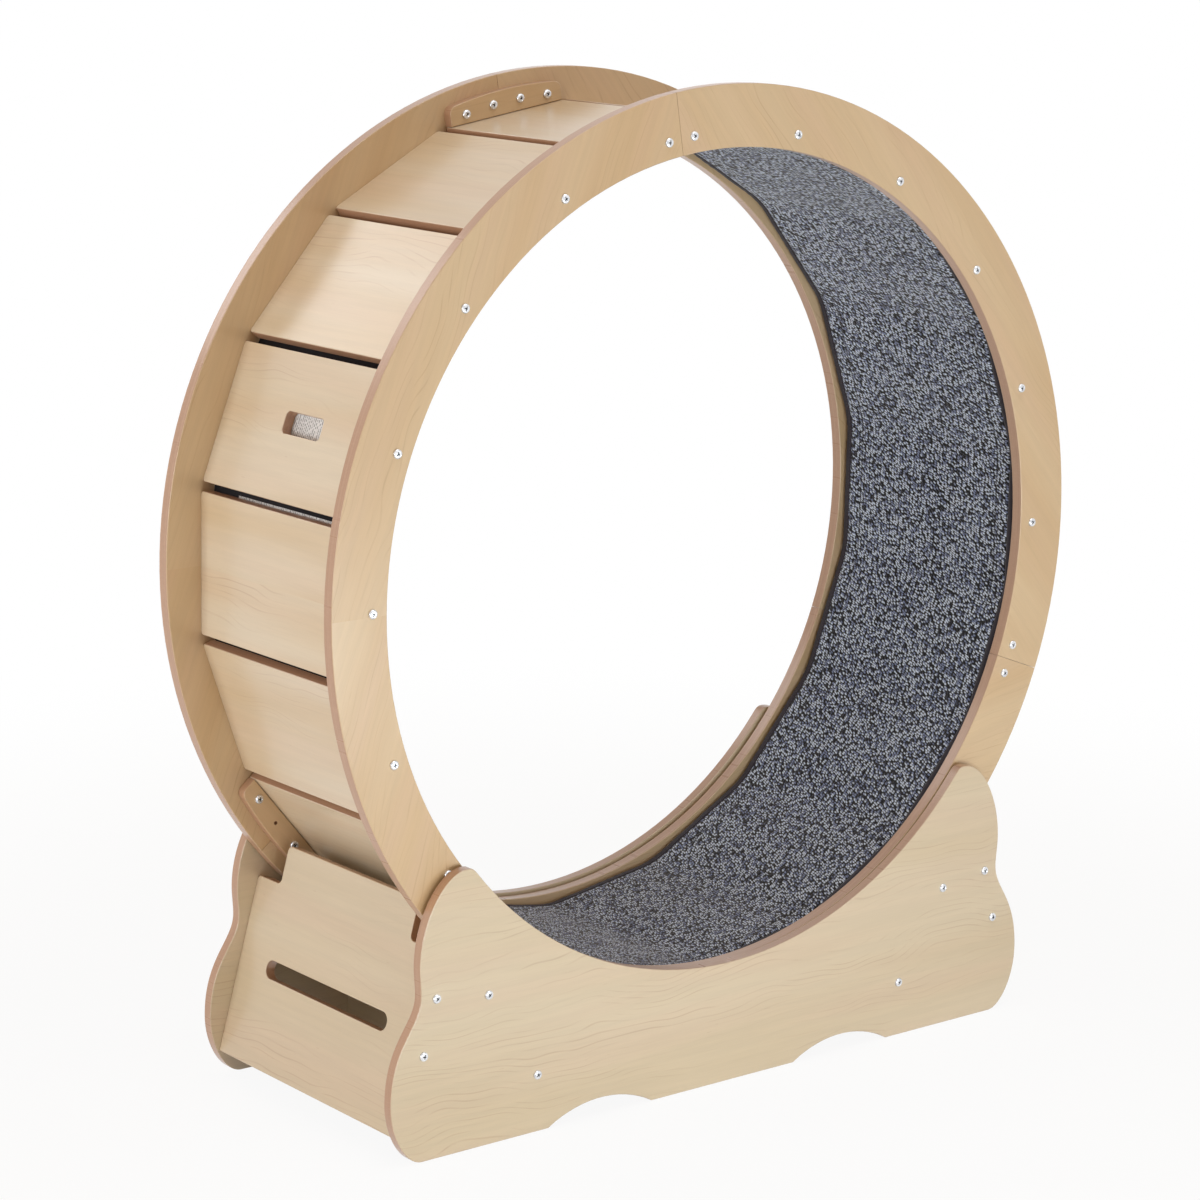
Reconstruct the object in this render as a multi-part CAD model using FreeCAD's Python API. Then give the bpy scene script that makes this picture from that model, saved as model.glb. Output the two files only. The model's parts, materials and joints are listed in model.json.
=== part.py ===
"""Cat exercise wheel: a slatted running wheel in a flat-pack base with four rollers.

Millimetres, +Z up. The wheel's axis lies along Y; the origin is on the floor, under the wheel's
centre. "Front" is the -Y side and "left" the -X side. Angles in the wheel are measured in the
XZ plane, from +X towards +Z.
"""
import FreeCAD
import Part
import math
import os

# ---------------------------------------------------------------- wheel: driving dimensions
wheel_floor_gap = 66.0          # under the wheel's lowest point
wheel_width = 314.0             # over the outer faces of the two rings
ring_outer_radius = 500.0
ring_breadth = 65.0             # from the ring's inner edge to its outer edge
ring_thickness = 14.0
segments_per_ring = 3
seam_gap = 0.4                  # open joint between two ring segments
rest_angle = -0.4               # how far the wheel has turned at rest, degrees

slat_count = 18
slat_gap = 6.4                  # between two slats, at their inner faces
slat_thickness = 12.0
slat_inset = 41.7               # slat's outer face, inside the ring's outer edge
slat_corner_radius = 4.0

window_slat = 8                 # counted from the slat at rest_angle
window_length = 66.0            # along the wheel's axis
window_height = 23.0            # along the ring
window_corner_radius = 5.0
window_offset = -4.0            # from the slat's middle, along the ring

mat_thickness = 8.0
mat_clearance = 0.2             # under the mat
mat_side_gap = 3.0              # between the mat's edge and the ring
mat_joint_offset = 5.4          # degrees past the middle of the slat with the window
mat_joint_gap = 1.0
binding_width = 9.0
closure_span = 18.0             # degrees, half of it each side of the mat's joint
closure_thickness = 1.2
closure_side_gap = 6.0          # between the closure strip's end and the ring

splice_thickness = 12.0
splice_length = 150.0
splice_inset = 15.0             # plate's outer edge, inside the ring's outer edge
splice_clearance = 0.5          # between the plate and its slat
splice_corner_radius = 9.0
splice_hole_pitch = 36.5        # along the screws' circle
splice_hole_count = 4
splice_screw_bite = 9.0         # how deep the screw goes into the ring
bare_splice_hole = (1, 1, 2)    # side, plate and hole that hold no screw

# ---------------------------------------------------------------- base: driving dimensions
panel_thickness = 12.0
panel_gap = 4.1                 # between a ring and its side panel
panel_arc_inset = 67.7          # the side panel's arc, inside the ring's outer edge
panel_arc_half_angle = 50.6     # from straight down to where the horn's tip begins
horn_tip_width = 13.0           # from the arc's end to the horn's top
horn_tip_rise = 6.4
horn_tip_length = 9.0           # how far the horn's tip takes to turn over
shoulder_overhang = 1.8         # shoulder beyond the waist
shoulder_rise = 34.3            # shoulder above the end panel's upper screw
waist_overhang = 18.5           # waist beyond the end panel's upper screw
waist_rise = 4.3
bulge_overhang = 36.8           # bulge beyond the waist
bulge_height = 66.0
toe_inset = 39.3                # where the floor contact ends, inside the bulge
round_pull = 0.5                # fullness of the panel's rounded ends, share of the run
neck_pull = 0.33                # share of the drop from shoulder to waist
waist_pull = 0.28               # share of the drop from waist to bulge
bulge_pull = 0.60
foot_arch_offset = 169.7        # from the base's middle to an arch's middle
foot_arch_length = 138.6
foot_arch_height = 18.5

end_panel_lean = 15.1           # degrees from upright, foot outwards
end_screw_reach = 65.2          # upper screw, outwards from the roller's axle
end_screw_rise = 8.8            # upper screw, above the roller's axle
end_screw_spacing = 59.8        # along the leaning panel
end_panel_drop = 148.5          # bottom edge below the upper screw, along the panel
end_shelf_clearance = 8.9       # between the shelves and the rings that pass over them
end_tab_clearance = 8.8         # between the tab's top and the slats' corners
end_tab_side_gap = 13.0         # between the tab and the splice plates
end_panel_corner_radius = 6.0
end_foot_corner_radius = 2.0
slot_length = 221.0
slot_height = 19.5
slot_drop = 43.3                # slot's middle below the upper screw

stretcher_offset = 255.0
stretcher_screw_height = 62.0
stretcher_depth = 60.0
dowel_radius = 3.0
dowel_length = 24.0
dowel_spacing = 40.0
dowel_panel_depth = 8.0

# ---------------------------------------------------------------- rollers and axles
roller_angle = 38.2             # from straight down, each side
roller_tread_radius = 15.2
roller_gap = 0.3                # between the tread and the ring
roller_side_clearance = 0.5     # between a flange and the ring's face
roller_flange_thickness = 2.5
roller_flange_depth = 4.0
roller_flange_bevel = 0.8
roller_shoulder = 1.0           # step that the bearing seats against
bearing_outer_radius = 11.0
bearing_width = 7.0
outer_race_thickness = 1.4
inner_race_radius = 6.05
ball_clearance = 0.05
ball_count = 7
axle_radius = 4.0
axle_bore_clearance = 0.05
axle_tap_run_out = 2.0          # beyond the screw's point
sleeve_radius = 5.8

# ---------------------------------------------------------------- fasteners
edge_round = 1.0                # eased edge of every board
slat_screw_radius = 2.0
slat_screw_length = 44.0
seam_screw_offset = 16.6        # each side of a seam
splice_screw_radius = 1.9
panel_screw_radius = 2.4
panel_screw_length = 50.0
axle_screw_radius = 2.4
axle_screw_length = 28.0
screw_clearance = 0.15
head_radius = 5.0
head_height = 2.8
head_dome_radius = 2.1
screw_point_radius = 0.5
recess_width = 1.1
recess_length = 5.2
recess_depth = 1.7
recess_arm_angles = (45.0, 135.0)
recess_turn = 37.0              # how far one screw's cross is turned from the last one's
near_enough = 0.01              # how far an edge may lie from the plane that it is taken to be in

# ---------------------------------------------------------------- worked out from the above
UP = FreeCAD.Vector(0, 0, 1)
ALONG_AXIS = FreeCAD.Vector(0, 1, 0)
axle_height = ring_outer_radius + wheel_floor_gap
centre = FreeCAD.Vector(0, 0, axle_height)
ring_inner_radius = ring_outer_radius - ring_breadth
ring_face = wheel_width / 2
ring_back = ring_face - ring_thickness
ring_middle = ring_face - ring_thickness / 2
slat_pitch = 360.0 / slat_count
segment_angle = 360.0 / segments_per_ring
slats_per_segment = slat_count // segments_per_ring
first_seam = slats_per_segment - 1
slat_outer_apothem = ring_outer_radius - slat_inset
slat_middle_apothem = slat_outer_apothem - slat_thickness / 2
slat_inner_apothem = slat_outer_apothem - slat_thickness
slat_width = 2 * slat_inner_apothem * math.tan(math.radians(slat_pitch / 2)) - slat_gap
mat_outer_apothem = slat_inner_apothem - mat_clearance
mat_inner_apothem = mat_outer_apothem - mat_thickness
mat_edge = ring_back - mat_side_gap
splice_foot = slat_outer_apothem + splice_clearance
splice_outer_radius = ring_outer_radius - splice_inset
splice_circle_radius = (splice_foot + splice_outer_radius) / 2
panel_inner = ring_face + panel_gap
panel_outer = panel_inner + panel_thickness
roller_distance = ring_outer_radius + roller_gap + roller_tread_radius
roller_x = roller_distance * math.sin(math.radians(roller_angle))
roller_height = axle_height - roller_distance * math.cos(math.radians(roller_angle))
outer_race_bore = bearing_outer_radius - outer_race_thickness
panel_arc_radius = ring_outer_radius - panel_arc_inset
end_screw_offset = roller_x + end_screw_reach
end_screw_height = roller_height + end_screw_rise


def put(node, solids):
    """Write one node; a group of like pieces stays a group of separate solids."""
    shape = solids if isinstance(solids, Part.Shape) else Part.makeCompound(solids)
    shape.exportStep("parts/%s.step" % node)


def wheel_point(angle, radius, y):
    """A point of the wheel, at an angle and a radius about its axis."""
    turn = math.radians(angle)
    return centre + FreeCAD.Vector(radius * math.cos(turn), y, radius * math.sin(turn))


def turn_to(shape, angle):
    """Carry a piece modelled at the top of the wheel round to its own angle."""
    turned = shape.copy()
    turned.rotate(centre, ALONG_AXIS, 90.0 - angle)
    return turned


def extruded(edges, length):
    """A plate along Y from a closed run of edges."""
    return Part.Face(Part.Wire(edges)).extrude(ALONG_AXIS * length)


def rod(radius, start, end):
    """A round bar between two points."""
    return Part.makeCylinder(radius, (end - start).Length, start, end - start)


def tube(radius, bore, start, end):
    return rod(radius, start, end).cut(rod(bore, start, end))


def on_plane(edge, axis, places):
    """True if a whole edge lies in one of the planes at these places along an axis."""
    box = edge.BoundBox
    low, high = {"x": (box.XMin, box.XMax), "y": (box.YMin, box.YMax), "z": (box.ZMin, box.ZMax)}[axis]
    return any(abs(low - place) < near_enough and abs(high - place) < near_enough for place in places)


def ease(board, axis, places, radius=edge_round):
    """Round the long outline edges of a board, on both of its faces."""
    return board.makeFillet(radius, [edge for edge in board.Edges if on_plane(edge, axis, places)])


def pan_head_screw(shank_radius, length):
    """Cross-recess pan-head screw: head above the origin's plane, shank along -Z."""
    head = Part.makeCylinder(head_radius, head_height)
    top = [edge for edge in head.Edges if on_plane(edge, "z", [head_height])]
    head = head.makeFillet(head_dome_radius, top)
    arms = []
    for turn in recess_arm_angles:
        arm = Part.makeBox(recess_length, recess_width, recess_depth * 2)
        arm.translate(FreeCAD.Vector(-recess_length / 2, -recess_width / 2, head_height - recess_depth))
        arm.rotate(FreeCAD.Vector(), UP, turn)
        arms.append(arm)
    point = Part.makeCone(recess_width / 2, recess_length / 2, recess_depth,
                          FreeCAD.Vector(0, 0, head_height - recess_depth))
    recess = arms[0].fuse(arms[1]).common(point)
    tip_length = shank_radius * 2
    shank = Part.makeCylinder(shank_radius, length - tip_length, FreeCAD.Vector(0, 0, tip_length - length))
    tip = Part.makeCone(screw_point_radius, shank_radius, tip_length, FreeCAD.Vector(0, 0, -length))
    return head.cut(recess).fuse([shank, tip]).removeSplitter()


def set_screws(screw, places):
    """Place a screw at each point, its head's underside there and its head facing along +Y or -Y."""
    placed = []
    for count, (point, outward) in enumerate(places):
        copy = screw.copy()
        copy.rotate(FreeCAD.Vector(), UP, count * recess_turn)
        copy.rotate(FreeCAD.Vector(), FreeCAD.Vector(1, 0, 0), -90 * outward)
        copy.translate(point)
        placed.append(copy)
    return placed


# ---------------------------------------------------------------- ring segments
def slat_angle(index):
    return rest_angle + index * slat_pitch


def slat_screw_points(index):
    """Angle and radius of each screw in one slat's end: a pair where the ring has a seam."""
    if index % slats_per_segment == first_seam:
        radius = math.hypot(slat_middle_apothem, seam_screw_offset)
        spread = math.degrees(math.atan2(seam_screw_offset, slat_middle_apothem))
        return [(slat_angle(index) - spread, radius), (slat_angle(index) + spread, radius)]
    return [(slat_angle(index), slat_middle_apothem)]


def seam_angle(segment):
    return slat_angle(first_seam + segment * slats_per_segment)


def splice_angles(segment):
    pitch = math.degrees(splice_hole_pitch / splice_circle_radius)
    middle = (splice_hole_count - 1) / 2
    return [seam_angle(segment) + (middle - hole) * pitch for hole in range(splice_hole_count)]


def ring_segment(segment, side):
    """One arc of a ring between two seams; side is -1 for the front ring, +1 for the back."""
    trim = math.degrees(seam_gap / 2 / ring_outer_radius)
    start = seam_angle(segment) + trim
    end = seam_angle(segment) + segment_angle - trim
    middle = (start + end) / 2
    near = ring_back if side > 0 else -ring_face
    corner = [wheel_point(start, ring_inner_radius, near), wheel_point(start, ring_outer_radius, near),
              wheel_point(end, ring_outer_radius, near), wheel_point(end, ring_inner_radius, near)]
    edges = [Part.makeLine(corner[0], corner[1]),
             Part.Arc(corner[1], wheel_point(middle, ring_outer_radius, near), corner[2]).toShape(),
             Part.makeLine(corner[2], corner[3]),
             Part.Arc(corner[3], wheel_point(middle, ring_inner_radius, near), corner[0]).toShape()]
    board = extruded(edges, ring_thickness)
    board = board.makeFillet(edge_round, [edge for edge in board.Edges
                                          if isinstance(edge.Curve, Part.Circle)])
    holes = []
    for index in range(slat_count):
        for angle, radius in slat_screw_points(index):
            holes.append(rod(slat_screw_radius + screw_clearance, wheel_point(angle, radius, near),
                             wheel_point(angle, radius, near + ring_thickness)))
    for plate in range(segments_per_ring):
        for angle in splice_angles(plate):
            mouth = wheel_point(angle, splice_circle_radius, side * ring_back)
            floor = wheel_point(angle, splice_circle_radius,
                                side * (ring_back + splice_screw_bite + screw_clearance))
            holes.append(rod(splice_screw_radius + screw_clearance, mouth, floor))
    return board.cut(holes)


# ---------------------------------------------------------------- slats
def slat(index):
    """A straight board from ring to ring, modelled at the top of the wheel and carried round."""
    low = centre.z + slat_inner_apothem
    high = low + slat_thickness
    board = Part.makeBox(slat_width, ring_back * 2, slat_thickness,
                         FreeCAD.Vector(-slat_width / 2, -ring_back, low))
    upright = [edge for edge in board.Edges if edge.BoundBox.ZLength > slat_thickness / 2]
    board = board.makeFillet(slat_corner_radius, upright)
    if index == window_slat:
        window = Part.makeBox(window_height, window_length, slat_thickness * 2,
                              FreeCAD.Vector(-window_offset - window_height / 2, -window_length / 2,
                                             low - slat_thickness / 2))
        sides = [edge for edge in window.Edges if edge.BoundBox.ZLength > slat_thickness]
        board = board.cut(window.makeFillet(window_corner_radius, sides))
    board = turn_to(ease(board, "z", [low, high]), slat_angle(index))
    depth = slat_screw_length - ring_thickness + screw_clearance
    bore = slat_screw_radius + screw_clearance
    holes = []
    for angle, radius in slat_screw_points(index):
        for side in (-1, 1):
            holes.append(rod(bore, wheel_point(angle, radius, side * ring_back),
                             wheel_point(angle, radius, side * (ring_back - depth))))
    return board.cut(holes)


# ---------------------------------------------------------------- splice plates
def splice_plate(segment, side):
    """Plate across a seam, on the ring's inner face: its foot is straight, along the slat."""
    half = splice_length / 2
    shoulder = math.sqrt(splice_outer_radius ** 2 - half ** 2)
    near = ring_back - splice_thickness if side > 0 else -ring_back
    corner = [centre + FreeCAD.Vector(u, near, w) for u, w in
              [(-half, splice_foot), (half, splice_foot), (half, shoulder), (-half, shoulder)]]
    crown = centre + FreeCAD.Vector(0, near, splice_outer_radius)
    board = extruded([Part.makeLine(corner[0], corner[1]), Part.makeLine(corner[1], corner[2]),
                      Part.Arc(corner[2], crown, corner[3]).toShape(),
                      Part.makeLine(corner[3], corner[0])], splice_thickness)
    upper = [edge for edge in board.Edges if edge.BoundBox.YLength > splice_thickness / 2
             and edge.BoundBox.ZMin > centre.z + splice_foot + near_enough]
    board = board.makeFillet(splice_corner_radius, upper)
    board = turn_to(ease(board, "y", [near, near + splice_thickness]), seam_angle(segment))
    holes = [rod(splice_screw_radius + screw_clearance, wheel_point(angle, splice_circle_radius, near),
                 wheel_point(angle, splice_circle_radius, near + splice_thickness))
             for angle in splice_angles(segment)]
    return board.cut(holes)


# ---------------------------------------------------------------- mat
def faceted_band(outer_apothem, inner_apothem, near, far):
    """A strip that follows the slats all the way round, as a ring with flat facets."""
    stretch = 1 / math.cos(math.radians(slat_pitch / 2))
    loops = []
    for apothem in (outer_apothem, inner_apothem):
        corners = [wheel_point(slat_angle(index) + slat_pitch / 2, apothem * stretch, near)
                   for index in range(slat_count)]
        loops.append(Part.Face(Part.makePolygon(corners + corners[:1])))
    return loops[0].cut(loops[1]).extrude(ALONG_AXIS * (far - near))


def sector(first_angle, last_angle, near, far):
    """A wedge of the wheel between two angles, to keep or cut part of a band."""
    axis_point = centre + ALONG_AXIS * near
    corners = [axis_point, wheel_point(first_angle, ring_outer_radius, near),
               wheel_point(last_angle, ring_outer_radius, near), axis_point]
    return Part.Face(Part.makePolygon(corners)).extrude(ALONG_AXIS * (far - near))


def mat_joint_angle():
    return slat_angle(window_slat) + mat_joint_offset


def closure(extra):
    """Closure strip behind the mat's joint; extra widens it to the recess in the mat."""
    reach = ring_back - closure_side_gap + extra
    half_span = closure_span / 2 + math.degrees(extra / slat_inner_apothem)
    band = faceted_band(slat_inner_apothem, slat_inner_apothem - closure_thickness - extra, -reach, reach)
    return band.common(sector(mat_joint_angle() - half_span, mat_joint_angle() + half_span, -reach, reach))


def open_at_joint(band):
    """Cut the mat's joint through a band that goes all the way round."""
    slit = Part.makeBox(mat_joint_gap, wheel_width, ring_outer_radius,
                        centre + FreeCAD.Vector(-mat_joint_gap / 2, -ring_face, 0))
    return band.cut(turn_to(slit, mat_joint_angle()))


def mat_pieces():
    pile_edge = mat_edge - binding_width
    recess = closure(mat_clearance)
    spans = [("running_mat", -pile_edge, pile_edge), ("front_mat_binding", -mat_edge, -pile_edge),
             ("back_mat_binding", pile_edge, mat_edge)]
    for node, near, far in spans:
        band = faceted_band(mat_outer_apothem, mat_inner_apothem, near, far)
        yield node, open_at_joint(band.cut(recess))


# ---------------------------------------------------------------- base boards
def bezier(*poles):
    curve = Part.BezierCurve()
    curve.setPoles(list(poles))
    return curve.toShape()


def panel_half_outline(side, near):
    """Edges of a side panel's outline from the arc's lowest point to the floor, one half."""
    def spot(x, z):
        return FreeCAD.Vector(side * x, near, z)

    def on_arc(angle):
        turn = math.radians(angle)
        return spot(panel_arc_radius * math.sin(turn), axle_height - panel_arc_radius * math.cos(turn))

    tip = on_arc(panel_arc_half_angle)
    lean = math.radians(panel_arc_half_angle)
    tip_pull = tip + FreeCAD.Vector(side * math.cos(lean), 0, math.sin(lean)) * horn_tip_length
    outward = FreeCAD.Vector(side, 0, 0)
    horn = tip + outward * horn_tip_width + UP * horn_tip_rise
    waist = spot(end_screw_offset + waist_overhang, end_screw_height + waist_rise)
    shoulder = FreeCAD.Vector(waist.x, near, end_screw_height + shoulder_rise) + outward * shoulder_overhang
    bulge = FreeCAD.Vector(waist.x, near, bulge_height) + outward * bulge_overhang
    foot = FreeCAD.Vector(bulge.x, near, 0) - outward * toe_inset
    horn_run = outward * abs(shoulder.x - horn.x)
    horn_fall = UP * (horn.z - shoulder.z)
    neck = UP * (shoulder.z - waist.z)
    hip = UP * (waist.z - bulge_height)
    arch_start = foot_arch_offset + foot_arch_length / 2
    arch_end = foot_arch_offset - foot_arch_length / 2
    return [
        Part.Arc(on_arc(0), on_arc(panel_arc_half_angle / 2), tip).toShape(),
        bezier(tip, tip_pull, horn - outward * horn_tip_length / 2, horn),
        bezier(horn, horn + horn_run * round_pull, shoulder + horn_fall * round_pull, shoulder),
        bezier(shoulder, shoulder - neck * neck_pull, waist + neck * neck_pull, waist),
        bezier(waist, waist - hip * waist_pull, bulge + hip * bulge_pull, bulge),
        bezier(bulge, bulge - UP * bulge_height * round_pull, foot + outward * toe_inset * round_pull, foot),
        Part.makeLine(foot, spot(arch_start, 0)),
        Part.Arc(spot(arch_start, 0), spot(foot_arch_offset, foot_arch_height), spot(arch_end, 0)).toShape(),
        Part.makeLine(spot(arch_end, 0), spot(0, 0)),
    ]


def end_screw_points():
    """Offset from the middle and height of the two screws that hold each end panel's edge."""
    lean = math.radians(end_panel_lean)
    lower = (end_screw_offset + end_screw_spacing * math.sin(lean),
             end_screw_height - end_screw_spacing * math.cos(lean))
    return [(end_screw_offset, end_screw_height), lower]


def panel_screw_points():
    return end_screw_points() + [(stretcher_offset, stretcher_screw_height)]


def dowel_heights():
    return [stretcher_screw_height - dowel_spacing / 2, stretcher_screw_height + dowel_spacing / 2]


def side_panel(side):
    """Side panel with the wheel's arc, waved ends and arched feet; side is -1 for the front."""
    near = panel_inner if side > 0 else -panel_outer
    edges = panel_half_outline(1, near) + panel_half_outline(-1, near)
    board = extruded(Part.sortEdges(edges)[0], panel_thickness)
    board = ease(board, "y", [near, near + panel_thickness])
    through = ALONG_AXIS * panel_thickness
    places = [(x, z, panel_screw_radius) for x, z in panel_screw_points()]
    places.append((roller_x, roller_height, axle_screw_radius))
    holes = []
    for hand in (-1, 1):
        for x, z, radius in places:
            start = FreeCAD.Vector(hand * x, near, z)
            holes.append(rod(radius + screw_clearance, start, start + through))
        for z in dowel_heights():
            mouth = FreeCAD.Vector(hand * stretcher_offset, side * panel_inner, z)
            holes.append(rod(dowel_radius + screw_clearance, mouth,
                             mouth + ALONG_AXIS * side * (dowel_panel_depth + screw_clearance)))
    return board.cut(holes)


def rise_to(radius):
    """How far up the leaning panel its inner face comes this near to the wheel's axis."""
    lean = math.radians(end_panel_lean)
    half_thickness = panel_thickness / 2
    up_panel = FreeCAD.Vector(-math.sin(lean), 0, math.cos(lean))
    inner_face = FreeCAD.Vector(end_screw_offset - half_thickness * math.cos(lean), 0,
                                end_screw_height - half_thickness * math.sin(lean))
    away = inner_face - centre
    along = away.dot(up_panel)
    return -along - math.sqrt(along ** 2 - away.dot(away) + radius ** 2)


def end_panel(hand):
    """Leaning end panel, modelled upright about its upper screw, then leaned; hand is -1 or +1."""
    half = panel_inner
    tab = ring_back - splice_thickness - end_tab_side_gap
    half_thickness = panel_thickness / 2
    end_shelf_rise = rise_to(ring_outer_radius + end_shelf_clearance)
    end_panel_rise = rise_to(math.hypot(slat_outer_apothem, slat_width / 2) + end_tab_clearance)
    outline = [(-half, -end_panel_drop), (half, -end_panel_drop), (half, end_shelf_rise),
               (tab, end_shelf_rise), (tab, end_panel_rise), (-tab, end_panel_rise),
               (-tab, end_shelf_rise), (-half, end_shelf_rise)]
    corners = [FreeCAD.Vector(-half_thickness, y, z) for y, z in outline]
    board = Part.Face(Part.makePolygon(corners + corners[:1])).extrude(FreeCAD.Vector(panel_thickness, 0, 0))
    through = [edge for edge in board.Edges if edge.BoundBox.XLength > half_thickness]
    upper = [edge for edge in through if not on_plane(edge, "z", [-end_panel_drop])]
    board = board.makeFillet(end_panel_corner_radius, upper)
    feet = [edge for edge in board.Edges if edge.BoundBox.XLength > half_thickness
            and on_plane(edge, "z", [-end_panel_drop])]
    board = board.makeFillet(end_foot_corner_radius, feet)
    radius = slot_height / 2
    reach = slot_length / 2 - radius
    across = FreeCAD.Vector(panel_thickness * 2, 0, 0)
    slot = Part.makeBox(panel_thickness * 2, reach * 2, slot_height,
                        FreeCAD.Vector(-panel_thickness, -reach, -slot_drop - radius))
    for y in (-reach, reach):
        end = FreeCAD.Vector(-panel_thickness, y, -slot_drop)
        slot = slot.fuse(rod(radius, end, end + across))
    board = ease(board.cut(slot.removeSplitter()), "x", [-half_thickness, half_thickness])
    depth = panel_screw_length - panel_thickness + screw_clearance
    holes = []
    for side in (-1, 1):
        for drop in (0, end_screw_spacing):
            start = FreeCAD.Vector(0, side * half, -drop)
            holes.append(rod(panel_screw_radius + screw_clearance, start, start - ALONG_AXIS * side * depth))
    board = board.cut(holes)
    board.rotate(FreeCAD.Vector(), ALONG_AXIS, -hand * end_panel_lean)
    board.translate(FreeCAD.Vector(hand * end_screw_offset, 0, end_screw_height))
    return board


def stretcher(hand):
    """Upright board low between the side panels, one screw and two dowels in each end."""
    low = stretcher_screw_height - stretcher_depth / 2
    near_x = hand * stretcher_offset - panel_thickness / 2
    board = Part.makeBox(panel_thickness, panel_inner * 2, stretcher_depth,
                         FreeCAD.Vector(near_x, -panel_inner, low))
    long_edges = [edge for edge in board.Edges if edge.BoundBox.YLength > panel_inner]
    board = board.makeFillet(edge_round, long_edges)
    holes = []
    for side in (-1, 1):
        end = FreeCAD.Vector(hand * stretcher_offset, side * panel_inner, stretcher_screw_height)
        depth = panel_screw_length - panel_thickness + screw_clearance
        holes.append(rod(panel_screw_radius + screw_clearance, end, end - ALONG_AXIS * side * depth))
        for z in dowel_heights():
            mouth = FreeCAD.Vector(end.x, end.y, z)
            inward = ALONG_AXIS * side * (dowel_length - dowel_panel_depth + screw_clearance)
            holes.append(rod(dowel_radius + screw_clearance, mouth, mouth - inward))
    return board.cut(holes)


def stretcher_dowels():
    pegs = []
    for hand in (-1, 1):
        for side in (-1, 1):
            for z in dowel_heights():
                outer = FreeCAD.Vector(hand * stretcher_offset, side * (panel_inner + dowel_panel_depth), z)
                pegs.append(rod(dowel_radius, outer, outer - ALONG_AXIS * side * dowel_length))
    return pegs


# ---------------------------------------------------------------- rollers and axles
def roller_point(hand, y):
    return FreeCAD.Vector(hand * roller_x, y, roller_height)


def axle(hand):
    """Steel cross axle between the side panels, tapped at both ends."""
    bar = rod(axle_radius, roller_point(hand, -panel_inner), roller_point(hand, panel_inner))
    depth = axle_screw_length - panel_thickness + axle_tap_run_out
    taps = [rod(axle_screw_radius + axle_bore_clearance, roller_point(hand, side * panel_inner),
                roller_point(hand, side * (panel_inner - depth))) for side in (-1, 1)]
    return bar.cut(taps)


def axle_sleeves():
    """Sleeves that keep the bearings in line with the rings: one long, two short on each axle."""
    bore = axle_radius + axle_bore_clearance
    race_out = ring_middle + bearing_width / 2
    race_in = ring_middle - bearing_width / 2
    spans = [(-panel_inner, -race_out), (-race_in, race_in), (race_out, panel_inner)]
    return [tube(sleeve_radius, bore, roller_point(hand, near), roller_point(hand, far))
            for hand in (-1, 1) for near, far in spans]


def inner_races():
    bore = axle_radius + axle_bore_clearance
    half = bearing_width / 2
    return [tube(inner_race_radius, bore, roller_point(hand, side * ring_middle - half),
                 roller_point(hand, side * ring_middle + half)) for hand in (-1, 1) for side in (-1, 1)]


def bearing_balls():
    """Balls between the inner races and the outer races, clear of both by the same amount."""
    radius = (outer_race_bore - inner_race_radius) / 2 - ball_clearance
    pitch_radius = (outer_race_bore + inner_race_radius) / 2
    balls = []
    for hand in (-1, 1):
        for side in (-1, 1):
            for ball in range(ball_count):
                turn = 2 * math.pi * ball / ball_count
                offset = FreeCAD.Vector(math.cos(turn), 0, math.sin(turn)) * pitch_radius
                balls.append(Part.makeSphere(radius, roller_point(hand, side * ring_middle) + offset))
    return balls


def outer_race(hand, side):
    half = bearing_width / 2
    return tube(bearing_outer_radius, outer_race_bore, roller_point(hand, side * ring_middle - half),
                roller_point(hand, side * ring_middle + half))


def roller(hand, side):
    """Grooved roller: a tread under the ring, a flange each side, a seat for the bearing."""
    groove = ring_thickness / 2 + roller_side_clearance
    width = groove + roller_flange_thickness
    flange = roller_tread_radius + roller_flange_depth
    lip = roller_flange_bevel
    seat = bearing_width / 2
    shoulder = bearing_outer_radius - roller_shoulder
    profile = [(shoulder, -width), (flange - lip, -width), (flange, lip - width),
               (flange, -groove - lip), (roller_tread_radius, -groove), (roller_tread_radius, groove),
               (flange, groove + lip), (flange, width - lip), (flange - lip, width),
               (bearing_outer_radius, width), (bearing_outer_radius, -seat), (shoulder, -seat)]
    base = roller_point(hand, side * ring_middle)
    corners = [base + FreeCAD.Vector(radius, side * along, 0) for radius, along in profile]
    face = Part.Face(Part.makePolygon(corners + corners[:1]))
    return face.revolve(base, ALONG_AXIS, 360)


# ---------------------------------------------------------------- fasteners
def slat_screws():
    places = []
    for side in (-1, 1):
        for index in range(slat_count):
            for angle, radius in slat_screw_points(index):
                places.append((wheel_point(angle, radius, side * ring_face), side))
    return set_screws(pan_head_screw(slat_screw_radius, slat_screw_length), places)


def splice_screws():
    places = []
    for side in (-1, 1):
        for plate in range(segments_per_ring):
            for hole, angle in enumerate(splice_angles(plate)):
                if (side, plate, hole) != bare_splice_hole:
                    face = side * (ring_back - splice_thickness)
                    places.append((wheel_point(angle, splice_circle_radius, face), -side))
    return set_screws(pan_head_screw(splice_screw_radius, splice_thickness + splice_screw_bite), places)


def panel_screws():
    places = [(FreeCAD.Vector(hand * x, side * panel_outer, z), side)
              for side in (-1, 1) for hand in (-1, 1) for x, z in panel_screw_points()]
    return set_screws(pan_head_screw(panel_screw_radius, panel_screw_length), places)


def axle_screws():
    places = [(roller_point(hand, side * panel_outer), side) for side in (-1, 1) for hand in (-1, 1)]
    return set_screws(pan_head_screw(axle_screw_radius, axle_screw_length), places)


# ---------------------------------------------------------------- write every piece
os.makedirs("parts", exist_ok=True)
SIDES = {"front": -1, "back": 1}
HANDS = {"left": -1, "right": 1}

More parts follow.
